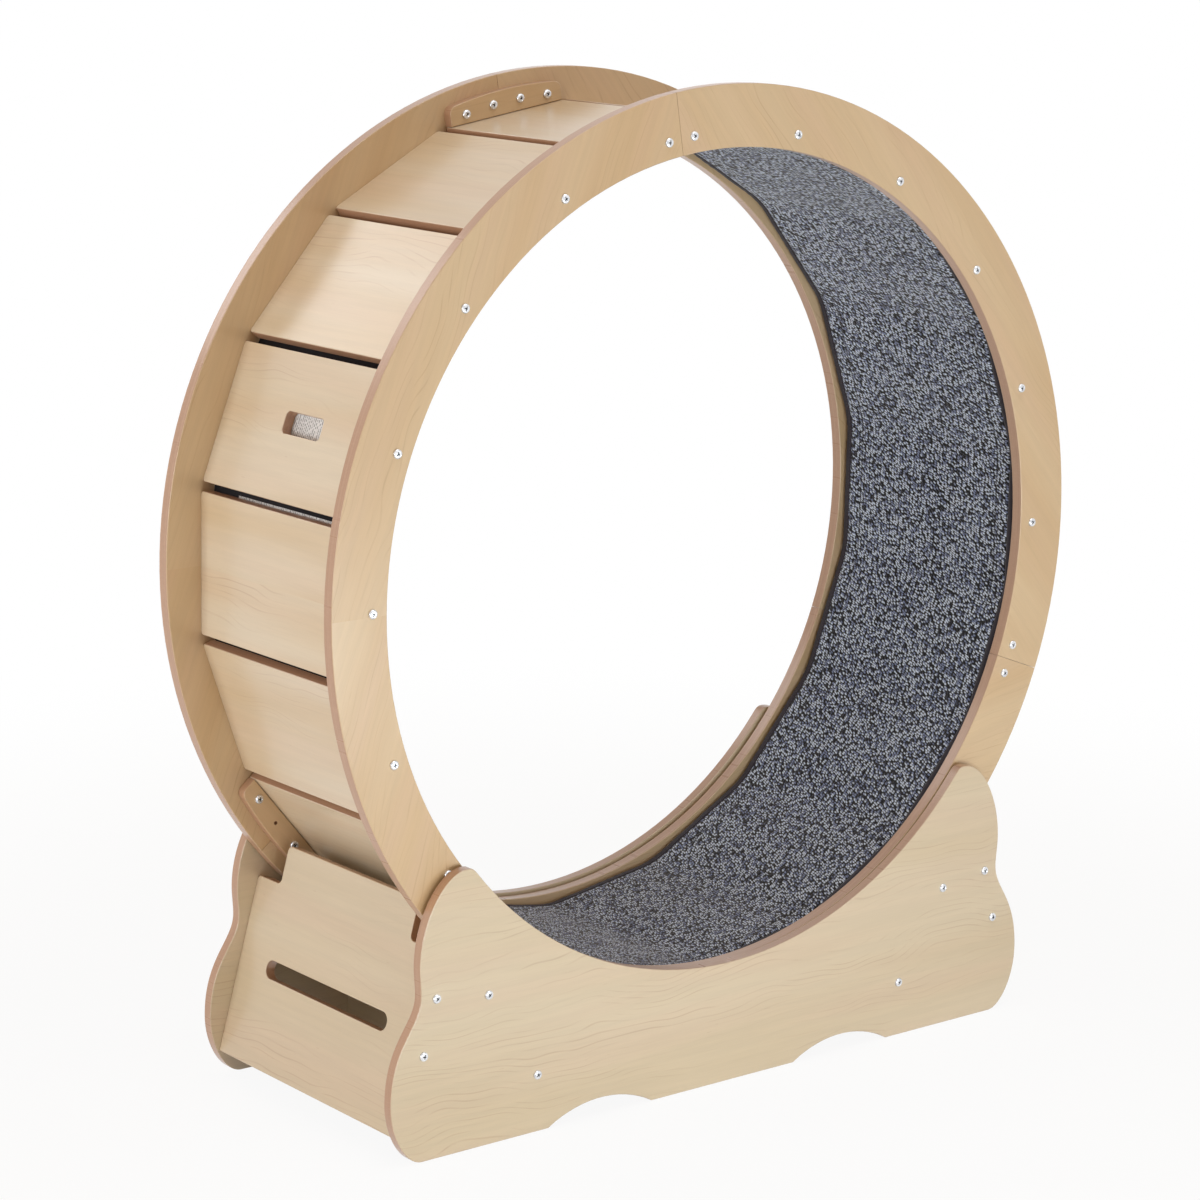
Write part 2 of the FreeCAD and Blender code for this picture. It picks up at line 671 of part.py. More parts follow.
for side_name, side in SIDES.items():
    put("%s_side_panel" % side_name, side_panel(side))
    for segment in range(segments_per_ring):
        put("%s_ring_segment_%d" % (side_name, segment + 1), ring_segment(segment, side))
        put("%s_splice_plate_%d" % (side_name, segment + 1), splice_plate(segment, side))
    for hand_name, hand in HANDS.items():
        put("%s_%s_roller" % (side_name, hand_name), roller(hand, side))
        put("%s_%s_outer_race" % (side_name, hand_name), outer_race(hand, side))

for hand_name, hand in HANDS.items():
    put("%s_end_panel" % hand_name, end_panel(hand))
    put("%s_stretcher" % hand_name, stretcher(hand))
    put("%s_axle" % hand_name, axle(hand))

for index in range(slat_count):
    put("slat_%02d" % (index + 1), slat(index))

for node, band in mat_pieces():
    put(node, band)

put("mat_closure_strip", closure(0))
put("slat_screws", slat_screws())
put("splice_screws", splice_screws())
put("panel_screws", panel_screws())
put("axle_screws", axle_screws())
put("axle_sleeves", axle_sleeves())
put("bearing_inner_races", inner_races())
put("bearing_balls", bearing_balls())
put("stretcher_dowels", stretcher_dowels())
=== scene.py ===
"""The looks of a cat exercise wheel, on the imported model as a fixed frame. Metres, +Z up."""
import json
import math
import random

import bpy
from mathutils import Matrix, Vector


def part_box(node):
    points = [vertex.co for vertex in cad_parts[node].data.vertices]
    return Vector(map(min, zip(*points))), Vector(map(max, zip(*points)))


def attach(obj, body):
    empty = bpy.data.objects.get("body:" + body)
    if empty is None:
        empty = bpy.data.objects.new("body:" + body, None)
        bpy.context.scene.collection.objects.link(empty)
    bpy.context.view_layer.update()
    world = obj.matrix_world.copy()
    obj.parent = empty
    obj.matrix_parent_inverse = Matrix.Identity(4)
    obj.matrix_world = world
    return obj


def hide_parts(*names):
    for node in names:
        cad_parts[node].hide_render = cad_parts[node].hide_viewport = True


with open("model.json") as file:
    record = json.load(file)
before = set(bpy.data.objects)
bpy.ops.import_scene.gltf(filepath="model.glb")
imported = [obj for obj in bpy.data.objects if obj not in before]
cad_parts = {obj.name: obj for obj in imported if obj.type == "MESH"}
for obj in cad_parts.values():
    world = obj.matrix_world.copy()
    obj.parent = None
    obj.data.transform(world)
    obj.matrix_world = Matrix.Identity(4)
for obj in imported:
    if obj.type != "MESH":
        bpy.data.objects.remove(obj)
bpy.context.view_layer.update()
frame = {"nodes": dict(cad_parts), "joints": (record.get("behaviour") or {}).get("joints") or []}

# ------------------------------------------------------ where the photograph was taken from
# A long lens, 3.7 m from the wheel's centre, to the left of the wheel's axis and a little above it.
# The two shifts and the roll are how the frame was cropped and levelled.
wheel_joint = next(joint for joint in frame["joints"] if joint["name"] == "wheel_spin")
axle = Vector(wheel_joint["pos_m"])
view_turn = math.radians(-38.83)
view_rise = math.radians(12.249)
view_roll = math.radians(1.017)
view_distance = 3.7428
view_aside = -0.03532
view_below = -0.06465
backward = Vector((math.sin(view_turn) * math.cos(view_rise),
                   -math.cos(view_turn) * math.cos(view_rise), math.sin(view_rise)))
level_right = Vector((math.cos(view_turn), math.sin(view_turn), 0))
level_up = backward.cross(level_right)
camera_right = level_right * math.cos(view_roll) + level_up * math.sin(view_roll)
camera_up = level_up * math.cos(view_roll) - level_right * math.sin(view_roll)
camera_place = axle + camera_right * view_aside + camera_up * view_below + backward * view_distance
camera = bpy.data.objects.new("camera", bpy.data.cameras.new("camera"))
bpy.context.scene.collection.objects.link(camera)
camera.data.lens = 103.78
camera.data.sensor_width = 36
camera.data.clip_end = 60
turn = Matrix((camera_right, camera_up, backward)).transposed().to_4x4()
camera.matrix_world = Matrix.Translation(camera_place) @ turn
bpy.context.scene.camera = camera

# ---------------------------------------------------------------- studio floor, backdrop and lamps
# White paper sweep and soft boxes: on the left, low in front, high behind and overhead. The paper
# shows white to the camera and in reflections, and still takes the wheel's shadow.


def paint(red, green, blue):
    """A colour read off a paint chart, 0 to 255, as the linear colour that a shader takes."""
    def linear(step):
        share = step / 255
        return share / 12.92 if share <= 0.04045 else ((share + 0.055) / 1.055) ** 2.4
    return (linear(red), linear(green), linear(blue), 1.0)


def add_node(tree, kind, sockets=None, **settings):
    """Add a node; sockets maps an input's name or number to a value or to another node's output."""
    node = tree.nodes.new(kind)
    for name, value in settings.items():
        setattr(node, name, value)
    for key, value in (sockets or {}).items():
        if isinstance(value, bpy.types.NodeSocket):
            tree.links.new(value, node.inputs[key])
        else:
            node.inputs[key].default_value = value
    return node


def maths(tree, operation, *terms):
    return add_node(tree, "ShaderNodeMath", dict(enumerate(terms)), operation=operation).outputs[0]


def ramp(tree, value, low, high, start=0.0, end=1.0):
    """A smooth step: start up to low, end from high on."""
    node = add_node(tree, "ShaderNodeMapRange", {"Value": value, "From Min": low, "From Max": high,
                                                 "To Min": start, "To Max": end},
                    interpolation_type="SMOOTHSTEP")
    return node.outputs["Result"]


def seen_directly(tree):
    """1 for what the camera sees, straight, in a reflection or through something clear."""
    path = add_node(tree, "ShaderNodeLightPath")
    mirrored = maths(tree, "MAXIMUM", path.outputs["Is Glossy Ray"],
                     path.outputs["Is Transmission Ray"])
    return maths(tree, "MAXIMUM", path.outputs["Is Camera Ray"], mirrored)


def blank_material(name):
    material = bpy.data.materials.new(name)
    material.use_nodes = True
    material.node_tree.nodes.clear()
    return material, material.node_tree


bpy.ops.object.select_all(action="DESELECT")
paper_below_feet = 0.0005       # so that the feet and the paper don't share a plane
bpy.ops.mesh.primitive_plane_add(size=40, location=(0, 0, -paper_below_feet))
paper = bpy.context.object
paper.name = "paper_floor"
paper_material, tree = blank_material("white paper")
spot = add_node(tree, "ShaderNodeTexCoord").outputs["Object"]
spread = add_node(tree, "ShaderNodeVectorMath", {0: spot}, operation="LENGTH").outputs["Value"]
shaded_within = 0.7             # metres from the middle of the floor
white_beyond = 1.9
near_white = 0.92
clear_of_wheel = ramp(tree, spread, shaded_within, white_beyond, near_white, 1.0)
share = maths(tree, "MULTIPLY", clear_of_wheel, seen_directly(tree))
matt = add_node(tree, "ShaderNodeBsdfDiffuse", {"Color": paint(238, 238, 238)})
bright = add_node(tree, "ShaderNodeEmission", {"Color": (1, 1, 1, 1), "Strength": 1.0})
mixed = add_node(tree, "ShaderNodeMixShader", {
    0: share, 1: matt.outputs[0], 2: bright.outputs[0]})
add_node(tree, "ShaderNodeOutputMaterial", {"Surface": mixed.outputs[0]})
paper.data.materials.append(paper_material)

world = bpy.data.worlds.new("studio")
world.use_nodes = True
world.node_tree.nodes.clear()
tree = world.node_tree
seen = seen_directly(tree)
room_light = add_node(tree, "ShaderNodeBackground", {
    "Color": (1.0, 0.77, 0.57, 1), "Strength": 0.40})
white_air = add_node(tree, "ShaderNodeBackground", {"Color": (1, 1, 1, 1), "Strength": 1.0})
air = add_node(tree, "ShaderNodeMixShader", {
    0: seen, 1: room_light.outputs[0], 2: white_air.outputs[0]})
add_node(tree, "ShaderNodeOutputWorld", {"Surface": air.outputs[0]})
bpy.context.scene.world = world


def soft_box(name, place, size, watts, tint):
    lamp = bpy.data.objects.new(name, bpy.data.lights.new(name, "AREA"))
    bpy.context.scene.collection.objects.link(lamp)
    lamp.data.shape = "RECTANGLE"
    lamp.data.size, lamp.data.size_y = size
    lamp.data.energy = watts
    lamp.data.color = tint
    lamp.location = place
    lamp.rotation_euler = (Vector(place) - axle).to_track_quat("Z", "Y").to_euler()


soft_box("left_box", (-3.0, 0.3, 0.8), (1.6, 1.2), 30.5, (0.96, 0.99, 1.0))
soft_box("front_box", (-0.12, -1.6, 0.12), (1.3, 0.4), 15, (0.88, 0.97, 1.0))
soft_box("back_box", (-1.1, 2.5, 2.2), (1.2, 1.2), 10, (0.98, 0.99, 1.0))
soft_box("top_box", (0.1, -0.8, 2.9), (1.6, 1.2), 17, (0.98, 0.99, 1.0))
bpy.context.scene.view_settings.view_transform = "Standard"

# ---------------------------------------------------------------- ring segments
# Each ring is three arcs of 14 mm board with a maple print under satin lacquer. Their edges are
# sawn, eased and left brown; the grain runs along each arc's chord.
first_slat = -0.4               # degrees round the axle, from the right upwards, as all turns here
segment_turn = 120.0
slat_turn = 20.0
first_seam = 99.6
maple_pale = paint(216, 191, 154)
maple_tan = paint(208, 178, 137)
maple_blush = paint(217, 186, 157)
maple_line = paint(166, 124, 88)
sawn_brown = paint(182, 142, 114)
sawn_light = paint(204, 168, 138)


def new_group(name, inputs, outputs):
    group = bpy.data.node_groups.new(name, "ShaderNodeTree")
    for label, kind in inputs:
        group.interface.new_socket(name=label, in_out="INPUT", socket_type=kind)
    for label, kind in outputs:
        group.interface.new_socket(name=label, in_out="OUTPUT", socket_type=kind)
    given = group.nodes.new("NodeGroupInput").outputs
    result = group.nodes.new("NodeGroupOutput")
    return group, given, result


FLOAT, COLOUR, VECTOR = "NodeSocketFloat", "NodeSocketColor", "NodeSocketVector"


def parts(tree, vector):
    return add_node(tree, "ShaderNodeSeparateXYZ", {0: vector}).outputs


def own_facing(tree):
    """The way a face looks in its own object's axes, as x, y and z."""
    normal = add_node(tree, "ShaderNodeNewGeometry").outputs["True Normal"]
    own = add_node(tree, "ShaderNodeVectorTransform", {0: normal}, vector_type="NORMAL",
                   convert_from="WORLD", convert_to="OBJECT")
    return parts(tree, own.outputs[0])


def stretched(tree, *terms):
    """Pairs of a value and a scale, multiplied, as the parts of one vector."""
    scaled = {axis: maths(tree, "MULTIPLY", *term) for axis, term in enumerate(terms)}
    return add_node(tree, "ShaderNodeCombineXYZ", scaled).outputs[0]


def noise(tree, spot, scale, detail):
    return add_node(tree, "ShaderNodeTexNoise", {
        "Vector": spot, "Scale": scale, "Detail": detail}).outputs["Fac"]


def blend(tree, factor, first, second, data_type="RGBA"):
    """Two colours or two numbers mixed; a factor of 0 gives the first."""
    return add_node(tree, "ShaderNodeMix", {"Factor": factor, "A": first, "B": second},
                    data_type=data_type).outputs["Result"]


def shaded(tree, colour, factor):
    return add_node(tree, "ShaderNodeVectorMath", {0: colour, "Scale": factor},
                    operation="SCALE").outputs[0]


def wheel_place_group():
    """Where a point is on its own piece of the wheel, for pieces that repeat round the axle."""
    group, given, result = new_group(
        "Place on the wheel", [("First turn", FLOAT), ("Pitch", FLOAT)],
        [("Along", FLOAT), ("Outward", FLOAT), ("Axial", FLOAT), ("Number", FLOAT),
         ("Faces along", FLOAT), ("Faces outward", FLOAT), ("Faces axial", FLOAT)])
    place = parts(group, add_node(group, "ShaderNodeTexCoord").outputs["Object"])
    height = maths(group, "SUBTRACT", place[2], axle.z)
    angle = maths(group, "ARCTAN2", height, place[0])
    degrees = maths(group, "MULTIPLY", angle, 180 / math.pi)
    past_first = maths(group, "SUBTRACT", degrees, given["First turn"])
    steps = maths(group, "DIVIDE", past_first, given["Pitch"])
    number = maths(group, "ROUND", steps)
    middle = maths(group, "MULTIPLY_ADD", number, given["Pitch"], given["First turn"])
    middle = maths(group, "MULTIPLY", middle, math.pi / 180)
    cosine, sine = maths(group, "COSINE", middle), maths(group, "SINE", middle)
    facing = own_facing(group)
    for along_name, outward_name, across, up in (
            ("Along", "Outward", place[0], height),
            ("Faces along", "Faces outward", facing[0], facing[2])):
        outward = maths(group, "ADD", maths(group, "MULTIPLY", across, cosine),
                        maths(group, "MULTIPLY", up, sine))
        along = maths(group, "SUBTRACT", maths(group, "MULTIPLY", up, cosine),
                      maths(group, "MULTIPLY", across, sine))
        group.links.new(along, result.inputs[along_name])
        group.links.new(outward, result.inputs[outward_name])
    group.links.new(place[1], result.inputs["Axial"])
    group.links.new(number, result.inputs["Number"])
    group.links.new(facing[1], result.inputs["Faces axial"])
    return group


def maple_group():
    """Maple print: broad pale, tan and rosy bands, thin broken lines along them, small flecks."""
    group, given, result = new_group(
        "Maple print", [("Along", FLOAT), ("Across", FLOAT), ("Board", FLOAT), ("Pale", COLOUR),
                        ("Tan", COLOUR), ("Blush", COLOUR), ("Line", COLOUR),
                        ("Line strength", FLOAT)],
        [("Colour", COLOUR), ("Height", FLOAT)])
    boards_apart = 1.7          # in the noise, so that no two boards look alike
    lines_to_metre = 140.0
    line_wander = 12.0
    blush_share = 0.35
    fleck_share = 0.22

    def streaks(along_scale, across_scale, detail, shift):
        """Noise drawn out along the grain."""
        spot = add_node(group, "ShaderNodeCombineXYZ", {
            0: maths(group, "MULTIPLY", given["Along"], along_scale),
            1: maths(group, "MULTIPLY", given["Across"], across_scale),
            2: maths(group, "MULTIPLY_ADD", given["Board"], boards_apart, shift)})
        return noise(group, spot.outputs[0], 1.0, detail)

    bands = ramp(group, streaks(1.6, 13, 2, 0.0), 0.32, 0.70)
    blush = ramp(group, streaks(2.4, 24, 1, 3.0), 0.40, 0.70)
    warp = streaks(4.5, 8.0, 2, 5.0)
    rings = maths(group, "ADD", maths(group, "MULTIPLY", given["Across"], lines_to_metre),
                  maths(group, "MULTIPLY", warp, line_wander))
    within = maths(group, "FRACT", rings)
    near_line = maths(group, "ABSOLUTE", maths(group, "SUBTRACT", within, 0.5))
    line = ramp(group, near_line, 0.02, 0.13, 1.0, 0.0)
    broken = ramp(group, streaks(8, 90, 3, 9.0), 0.40, 0.68)
    where = ramp(group, streaks(3.0, 8.0, 1, 13.0), 0.40, 0.66)
    line = maths(group, "MULTIPLY", line, maths(group, "MULTIPLY", broken, where))
    line_share = maths(group, "MULTIPLY", line, given["Line strength"])
    fleck = ramp(group, streaks(60, 620, 1, 17.0), 0.77, 0.83)
    fibre = streaks(30, 1100, 2, 21.0)
    colour = blend(group, bands, given["Pale"], given["Tan"])
    colour = blend(group, maths(group, "MULTIPLY", blush, blush_share), colour, given["Blush"])
    colour = blend(group, line_share, colour, given["Line"])
    colour = blend(group, maths(group, "MULTIPLY", fleck, fleck_share), colour, given["Line"])
    shade = maths(group, "MULTIPLY", ramp(group, fibre, 0.25, 0.75, 0.984, 1.012),
                  ramp(group, streaks(7, 160, 2, 25.0), 0.3, 0.7, 0.972, 1.012))
    group.links.new(shaded(group, colour, shade), result.inputs["Colour"])
    group.links.new(maths(group, "SUBTRACT", fibre, maths(group, "MULTIPLY", line, 0.5)),
                    result.inputs["Height"])
    return group


def sawn_edge_group():
    """Sawn edge of a board: layers across its thickness, saw and sanding marks along it."""
    group, given, result = new_group(
        "Sawn edge", [("Along", FLOAT), ("Through", FLOAT), ("Dark", COLOUR), ("Light", COLOUR)],
        [("Colour", COLOUR), ("Height", FLOAT)])
    layer_strength = 0.30
    mark_strength = 0.16
    layers = stretched(group, (given["Along"], 3.0), (given["Through"], 520.0))
    layer = noise(group, layers, 1.0, 2.0)
    marks = stretched(group, (given["Along"], 420.0), (given["Through"], 200.0))
    mark = noise(group, marks, 1.0, 3.0)
    lightness = maths(
        group, "ADD", maths(group, "MULTIPLY", ramp(group, layer, 0.35, 0.7), layer_strength),
        maths(group, "MULTIPLY", ramp(group, mark, 0.4, 0.75), mark_strength))
    group.links.new(blend(group, lightness, given["Dark"], given["Light"]),
                    result.inputs["Colour"])
    group.links.new(mark, result.inputs["Height"])
    return group


wheel_place = wheel_place_group()
maple_print = maple_group()
sawn_edge = sawn_edge_group()


def put_group(tree, group, sockets):
    return add_node(tree, "ShaderNodeGroup", sockets, node_tree=group).outputs


def bumped(tree, height, strength, distance):
    return add_node(tree, "ShaderNodeBump", {
        "Strength": strength, "Distance": distance, "Height": height}).outputs["Normal"]


def surface(tree, sockets):
    """One Principled shader as the whole surface."""
    shader = add_node(tree, "ShaderNodeBsdfPrincipled", sockets)
    add_node(tree, "ShaderNodeOutputMaterial", {"Surface": shader.outputs[0]})


def board_finish(tree, along, across, board, through, facing, tones):
    """Printed faces where the board faces its own way, sawn edges elsewhere, and a painted
    highlight in the pale face tone along the eased corners.

    board is a number that differs from board to board and shifts the grain."""
    pale, tan, blush = tones
    line_strength = 0.30
    corner_highlight_share = 0.7
    face_roughness = 0.32
    edge_roughness = 0.26
    fibre_roughness = 0.06
    face = put_group(tree, maple_print, {
        "Along": along, "Across": across, "Board": board, "Pale": pale, "Tan": tan,
        "Blush": blush, "Line": maple_line, "Line strength": line_strength})
    edge = put_group(tree, sawn_edge, {
        "Along": maths(tree, "ADD", along, across), "Through": through, "Dark": sawn_brown,
        "Light": sawn_light})
    square = maths(tree, "ABSOLUTE", facing)
    on_edge = ramp(tree, square, 0.80, 0.95, 1.0, 0.0)
    corner = maths(tree, "MULTIPLY", on_edge, ramp(tree, square, 0.12, 0.45))
    both = blend(tree, on_edge, face["Colour"], edge["Colour"])
    # painted highlight: the rounding of each eased corner is drawn towards the pale face tone
    corner_highlighted = blend(tree, maths(tree, "MULTIPLY", corner, corner_highlight_share), both, pale)
    height = blend(tree, on_edge, face["Height"], edge["Height"], data_type="FLOAT")
    roughness = ramp(tree, on_edge, 0.0, 1.0, face_roughness, edge_roughness)
    roughness = maths(tree, "MULTIPLY_ADD", face["Height"], fibre_roughness, roughness)
    surface(tree, {"Base Color": corner_highlighted, "Roughness": roughness, "Coat Weight": 0.45,
                   "Coat Roughness": 0.20, "Normal": bumped(tree, height, 0.25, 0.00015)})


def dress(names, material):
    for name in names:
        body = frame["nodes"][name].data
        body.materials.clear()
        body.materials.append(material)


ring_material, tree = blank_material("ring board")
place = put_group(tree, wheel_place, {
    "First turn": first_seam + segment_turn / 2, "Pitch": segment_turn})
board = maths(tree, "MULTIPLY_ADD", place["Number"], 2.3, maths(tree, "SIGN", place["Axial"]))
board_finish(tree, place["Along"], place["Outward"], board, place["Axial"], place["Faces axial"],
             (maple_pale, maple_tan, maple_blush))
sides = ("front", "back")
hands = ("left", "right")
ring_segments = ["%s_ring_segment_%d" % (side, count) for side in sides for count in (1, 2, 3)]
dress(ring_segments, ring_material)

# ---------------------------------------------------------------- splice plates
# A 12 mm board plate behind each ring seam, four screws through it into the ring. Same board as
# the ring, cut with the grain along the plate.
splice_material, tree = blank_material("splice plate board")
place = put_group(tree, wheel_place, {"First turn": first_seam, "Pitch": segment_turn})
board = maths(tree, "MULTIPLY_ADD", place["Number"], 3.1, maths(tree, "SIGN", place["Axial"]))
board_finish(tree, place["Along"], place["Outward"], board, place["Axial"], place["Faces axial"],
             (maple_tan, paint(205, 177, 138), maple_blush))
splice_plates = ["%s_splice_plate_%d" % (side, count) for side in sides for count in (1, 2, 3)]
dress(splice_plates, splice_material)

# ---------------------------------------------------------------- slats
# Eighteen flat 12 mm boards from ring to ring, screwed through the rings into their ends. The
# grain runs along each slat; one has a rounded window to reach the mat's closure.
slat_material, tree = blank_material("slat board")
place = put_group(tree, wheel_place, {"First turn": first_slat, "Pitch": slat_turn})
board = maths(tree, "MULTIPLY", place["Number"], 4.7)
board_finish(tree, place["Axial"], place["Along"], board, place["Outward"], place["Faces outward"],
             (paint(225, 211, 188), paint(215, 193, 160), paint(222, 198, 172)))
slat_count = 18
slat_names = ["slat_%02d" % (count + 1) for count in range(slat_count)]
dress(slat_names, slat_material)

# ---------------------------------------------------------------- running mat
# A strip of carpet, looped pile in mixed dark and light grey yarn on a firm backing. It lies along
# the slats, bends softly where two slats meet, and its two ends butt together near the window.
slat_inner_face = 0.4463
backing_gap = 0.0002
bend_radius = 0.11
pile_top = 0.0070               # both heights are from the backing's underside
pile_under_tape = 0.0052
mat_half_width = 0.1388
parting_inset = 0.027           # from the mat's edge to the parting between two pile rows, darkened by painted shade
joint_turn = 165.0
joint_gap = 0.0010
flat_steps = 38
bend_steps = 8
cross_steps = 76
half_pitch = math.radians(slat_turn / 2)


def lining_stations():
    """Places along the slats, all the way round: length run, point, way out and its angle."""
    apothem = slat_inner_face - backing_gap
    flat_half = (apothem - bend_radius) * math.tan(half_pitch)
    bend_centre = (apothem - bend_radius) / math.cos(half_pitch)
    stations = []
    run = 0.0
    for slat in range(slat_count):
        middle = math.radians(first_slat + slat * slat_turn)
        out = Vector((math.cos(middle), 0, math.sin(middle)))
        along = Vector((-math.sin(middle), 0, math.cos(middle)))
        for step in range(flat_steps):
            ahead = flat_half * (2 * step / flat_steps - 1)
            stations.append((run + flat_half + ahead, axle + out * apothem + along * ahead,
                             out, middle))
        run += 2 * flat_half
        corner = middle + half_pitch
        hub = axle + Vector((math.cos(corner), 0, math.sin(corner))) * bend_centre
        for step in range(bend_steps):
            lean = middle + 2 * half_pitch * step / bend_steps
            out = Vector((math.cos(lean), 0, math.sin(lean)))
            stations.append((run + bend_radius * (lean - middle), hub + out * bend_radius,
                             out, lean))
        run += 2 * half_pitch * bend_radius
    return stations, run


stations, mat_length = lining_stations()
joint_place = min(range(len(stations)),
                  key=lambda at: abs(math.degrees(stations[at][3]) - joint_turn))


def open_stations():
    """The stations from one end of the mat to the other, the joint's gap taken off both ends."""
    ordered = stations[joint_place:] + stations[:joint_place + 1]
    start = ordered[0][0]
    rows = []
    for count, (run, point, out, _) in enumerate(ordered):
        length = run - start
        if run < start or count >= len(stations):
            length = run - start + mat_length
        along = Vector((-out.z, 0, out.x))
        if count == 0:
            point = point + along * joint_gap / 2
        if count == len(ordered) - 1:
            point = point - along * joint_gap / 2
        rows.append((length, point, out))
    return rows


def mesh_piece(name, points, faces, uv):
    mesh = bpy.data.meshes.new(name)
    mesh.from_pydata(points, [], faces)
    layer = mesh.uv_layers.new(name="weave")
    for loop in mesh.loops:
        layer.data[loop.index].uv = uv[loop.vertex_index]
    mesh.shade_smooth()
    piece = bpy.data.objects.new(name, mesh)
    bpy.context.scene.collection.objects.link(piece)
    return piece


def swept_strip(name, rows, profile_at):
    """Sweep a section along the mat; profile_at gives its (across, height, girth) at a length."""
    points, uv, faces = [], [], []
    for length, point, out in rows:
        profile = profile_at(length)
        for across, height, girth in profile:
            points.append(point - out * height + Vector((0, across, 0)))
            uv.append((length, girth))
    size = len(profile)
    for row in range(len(rows) - 1):
        for column in range(size):
            after = (column + 1) % size
            faces.append((row * size + column, row * size + after, (row + 1) * size + after,
                          (row + 1) * size + column))
    faces.append(tuple(reversed(range(size))))
    faces.append(tuple((len(rows) - 1) * size + column for column in range(size)))
    piece = mesh_piece(name, points, faces, uv)
    bpy.ops.object.select_all(action="DESELECT")
    bpy.context.view_layer.objects.active = piece
    piece.select_set(True)
    bpy.ops.object.mode_set(mode="EDIT")
    bpy.ops.mesh.select_all(action="SELECT")
    bpy.ops.mesh.normals_make_consistent(inside=False)
    bpy.ops.object.mode_set(mode="OBJECT")
    return piece


yarn = random.Random(7)
mat_rows = open_stations()
cut_end_round = 0.0016
tape_line = 0.0075              # from the mat's edge to where the tape lets the pile stand up
tape_line_soft = 0.0006
parting_half_width = 0.0016
parting_depth = 0.0012
loop_unevenness = 0.00028


def pile_profile(length):
    """Pile from edge to edge, low under the tape and at the partings, then the flat backing."""
    near_end = min(length, mat_length - length)
    round_end = 1 - math.exp(-near_end / cut_end_round)
    profile = []
    for step in range(cross_steps + 1):
        across = mat_half_width * (1 - 2 * step / cross_steps)
        from_edge = mat_half_width - abs(across)
        under_tape = 1 / (1 + math.exp((from_edge - tape_line) / tape_line_soft))
        parting = math.exp(-((from_edge - parting_inset) / parting_half_width) ** 2)
        swell = (0.00035 * math.sin(length * 9.0 + across * 14)
                 + 0.00025 * math.sin(length * 31 - across * 40))
        height = pile_top + swell - parting * parting_depth
        height = height + yarn.uniform(-loop_unevenness, loop_unevenness)
        height = height * (1 - under_tape) + pile_under_tape * under_tape
        profile.append((across, height * (0.55 + 0.45 * round_end), across))
    profile.append((-mat_half_width, 0.0, -mat_half_width))
    profile.append((mat_half_width, 0.0, mat_half_width))
    return profile


mat = swept_strip("carpet_mat", mat_rows, pile_profile)


def loop_pile_group():
    """Looped pile: rows of small round loops, each of one yarn, with painted shade darkening the
    gaps between them.
    """
    group, given, result = new_group(
        "Loop pile", [("Weave", VECTOR), ("Dark yarn", COLOUR), ("Grey yarn", COLOUR),
                      ("Light yarn", COLOUR)], [("Colour", COLOUR), ("Height", FLOAT)])
    loops_along = 385.0         # loops to the metre
    loops_across = 215.0
    row_slant = -0.36
    place = parts(group, given["Weave"])
    wander = maths(group, "MULTIPLY", noise(group, given["Weave"], 60.0, 1.0), 2.0)
    slanted = maths(group, "MULTIPLY_ADD", place[1], row_slant, place[0])
    lattice = add_node(group, "ShaderNodeCombineXYZ", {
        0: maths(group, "MULTIPLY_ADD", slanted, loops_along, wander),
        1: maths(group, "MULTIPLY", place[1], loops_across)})
    cells = add_node(group, "ShaderNodeTexVoronoi", {
        "Vector": lattice.outputs[0], "Scale": 1.0, "Randomness": 0.65}, voronoi_dimensions="2D")
    yarn_mix = add_node(group, "ShaderNodeSeparateColor", {0: cells.outputs["Color"]}).outputs
    broad = maths(group, "MULTIPLY_ADD", noise(group, given["Weave"], 17.0, 2.0), 0.3, -0.15)
    pick = maths(group, "ADD", yarn_mix[0], broad)
    colour = blend(group, ramp(group, pick, 0.08, 0.22), given["Dark yarn"], given["Grey yarn"])
    colour = blend(group, ramp(group, pick, 0.36, 0.60), colour, given["Light yarn"])
    dome = ramp(group, cells.outputs["Distance"], 0.16, 0.57, 1.0, 0.0)
    # painted shade: each loop darkens from its top to near black in the gaps between loops
    shade = ramp(group, dome, 0.0, 0.8, 0.02, 1.0)
    group.links.new(shaded(group, colour, shade), result.inputs["Colour"])
    group.links.new(dome, result.inputs["Height"])
    return group


def weave_place(tree):
    """Where a point lies on a strip's cloth: along the strip, then round its girth."""
    return add_node(tree, "ShaderNodeUVMap", uv_map="weave").outputs["UV"]


loop_pile = loop_pile_group()
mat_material, tree = blank_material("loop pile")
weave = weave_place(tree)
pile = put_group(tree, loop_pile, {
    "Weave": weave, "Dark yarn": paint(26, 30, 46), "Grey yarn": paint(134, 148, 186),
    "Light yarn": paint(220, 234, 255)})
from_edge = maths(tree, "SUBTRACT", mat_half_width, maths(tree, "ABSOLUTE", parts(tree, weave)[1]))
parting = maths(tree, "ABSOLUTE", maths(tree, "SUBTRACT", from_edge, parting_inset))
# painted shade along the parting groove between two pile rows
shade = ramp(tree, parting, 0.0004, 0.0022, 0.45, 1.0)
surface(tree, {
    "Base Color": shaded(tree, pile["Colour"], shade), "Roughness": 0.92, "Sheen Weight": 0.35,
    "Sheen Roughness": 0.5, "Specular IOR Level": 0.2,
    "Normal": bumped(tree, pile["Height"], 0.6, 0.0012)})
mat.data.materials.append(mat_material)
backing_material, tree = blank_material("mat backing")
felt = noise(tree, weave_place(tree), 700.0, 3.0)
surface(tree, {
    "Base Color": blend(tree, felt, paint(24, 23, 25), paint(48, 46, 50)), "Roughness": 0.9,
    "Specular IOR Level": 0.2, "Normal": bumped(tree, felt, 0.4, 0.0004)})
mat.data.materials.append(backing_material)
for face in mat.data.polygons:
    sideways = [mat.data.vertices[corner].co.y for corner in face.vertices]
    if max(sideways) - min(sideways) > mat_half_width:
        face.material_index = 1
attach(mat, "wheel")
